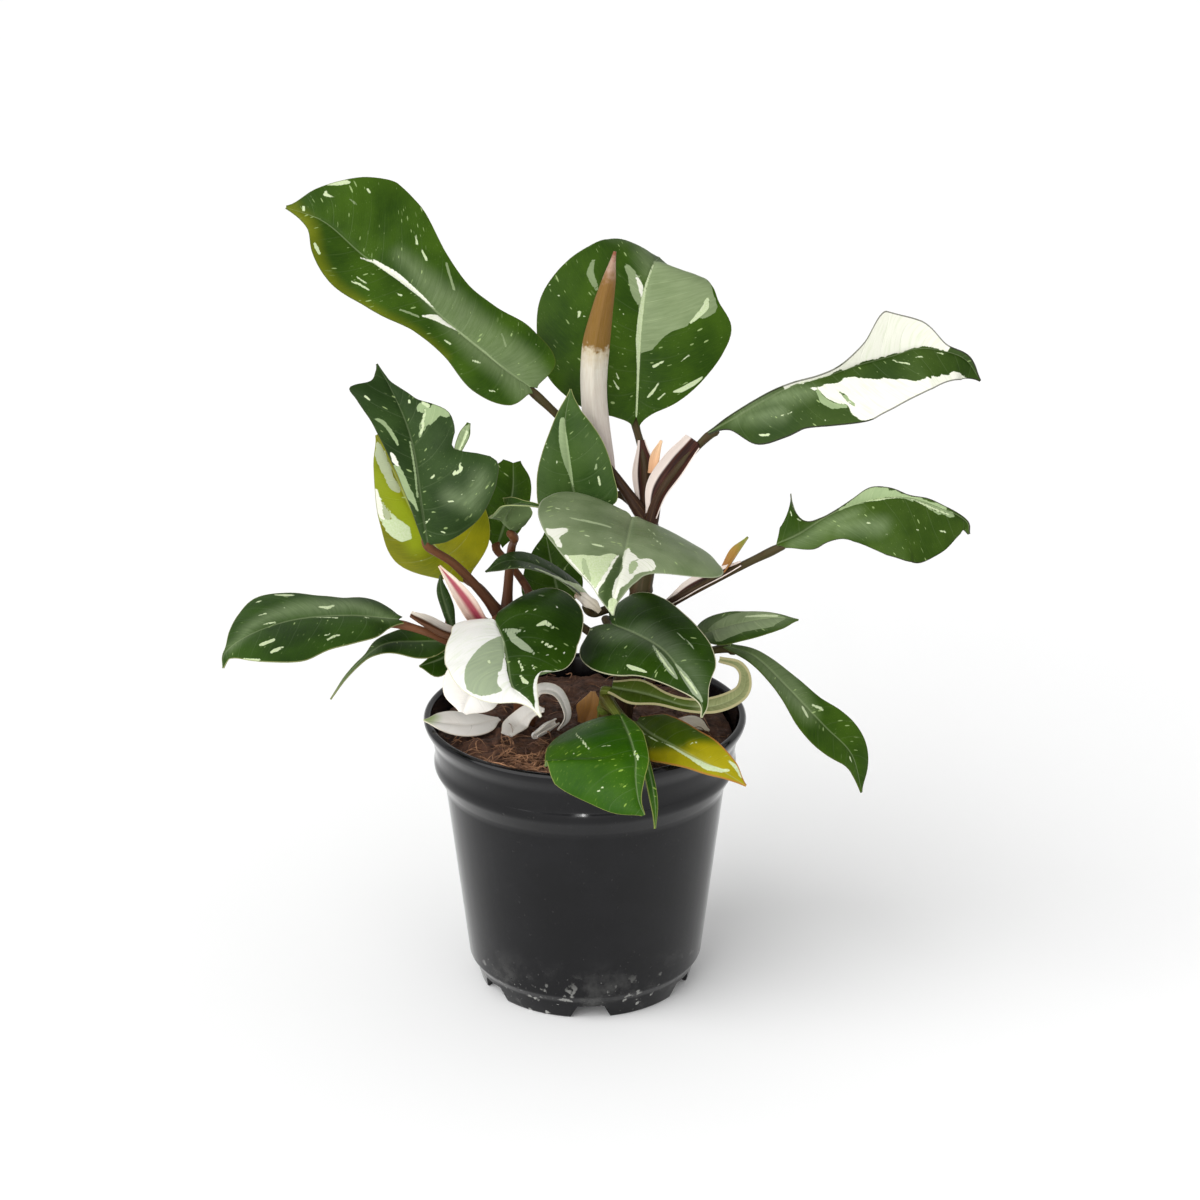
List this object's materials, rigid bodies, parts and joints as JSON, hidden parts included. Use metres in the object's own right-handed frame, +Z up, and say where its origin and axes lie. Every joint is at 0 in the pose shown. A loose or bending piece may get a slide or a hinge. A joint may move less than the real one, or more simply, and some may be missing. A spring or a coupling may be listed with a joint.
{
  "type": "potted white knight philodendron",
  "caption": "Leafy houseplant with green and white mottled leaves on brown stalks, standing in soil in a black plastic nursery pot.",
  "frame": {"origin": "on the pot's axis, in the plane of its foot and of the flat centre of its floor, where the pot stands", "axes": "+Z up along the pot's axis, -Y towards the viewer of the picture, +X to the viewer's right"},
  "size_m": [0.2712, 0.1573, 0.298],
  "materials": {
    "pot": "satin",
    "soil": "matte",
    "stem": "satin",
    "green_stem": "satin",
    "leaf": "satin",
    "bright_leaf": "satin",
    "pale_leaf": "satin",
    "olive_leaf": "satin",
    "sheath": "satin",
    "dry_sheath": "matte"
  },
  "bodies": {
    "root": {"pot": "pot", "soil": "soil", "stem_centre": "stem", "stem_left": "stem", "stem_front": "green_stem", "leaf_upper_left": "leaf", "leaf_upper_centre": "leaf", "leaf_upright": "leaf", "leaf_centre": "leaf", "leaf_left": "leaf", "leaf_yellow": "leaf", "leaf_left_back": "leaf", "leaf_curled": "leaf", "leaf_inner_dark": "leaf", "leaf_inner_green": "leaf", "leaf_far_left": "leaf", "leaf_left_drip": "leaf", "leaf_half_white": "leaf", "leaf_front_right": "leaf", "leaf_right_small": "leaf", "leaf_right_hanging": "leaf", "leaf_right": "leaf", "leaf_upper_right": "leaf", "leaf_front_bright": "bright_leaf", "leaf_front_yellow": "olive_leaf", "leaf_front_sliver": "bright_leaf", "leaf_curled_strap": "olive_leaf", "leaf_rim_white": "pale_leaf", "leaf_white_under": "pale_leaf", "bract_curled": "pale_leaf", "bract_crumpled": "pale_leaf", "bract_small": "pale_leaf", "dried_scale": "dry_sheath", "pale_piece": "sheath", "leaf_low_dark": "leaf", "leaf_narrow": "leaf", "new_leaf": "sheath", "sheath_left": "sheath", "sheath_far_left": "sheath", "ligule_right": "dry_sheath", "ligule_centre": "sheath"}
  },
  "joints": []
}
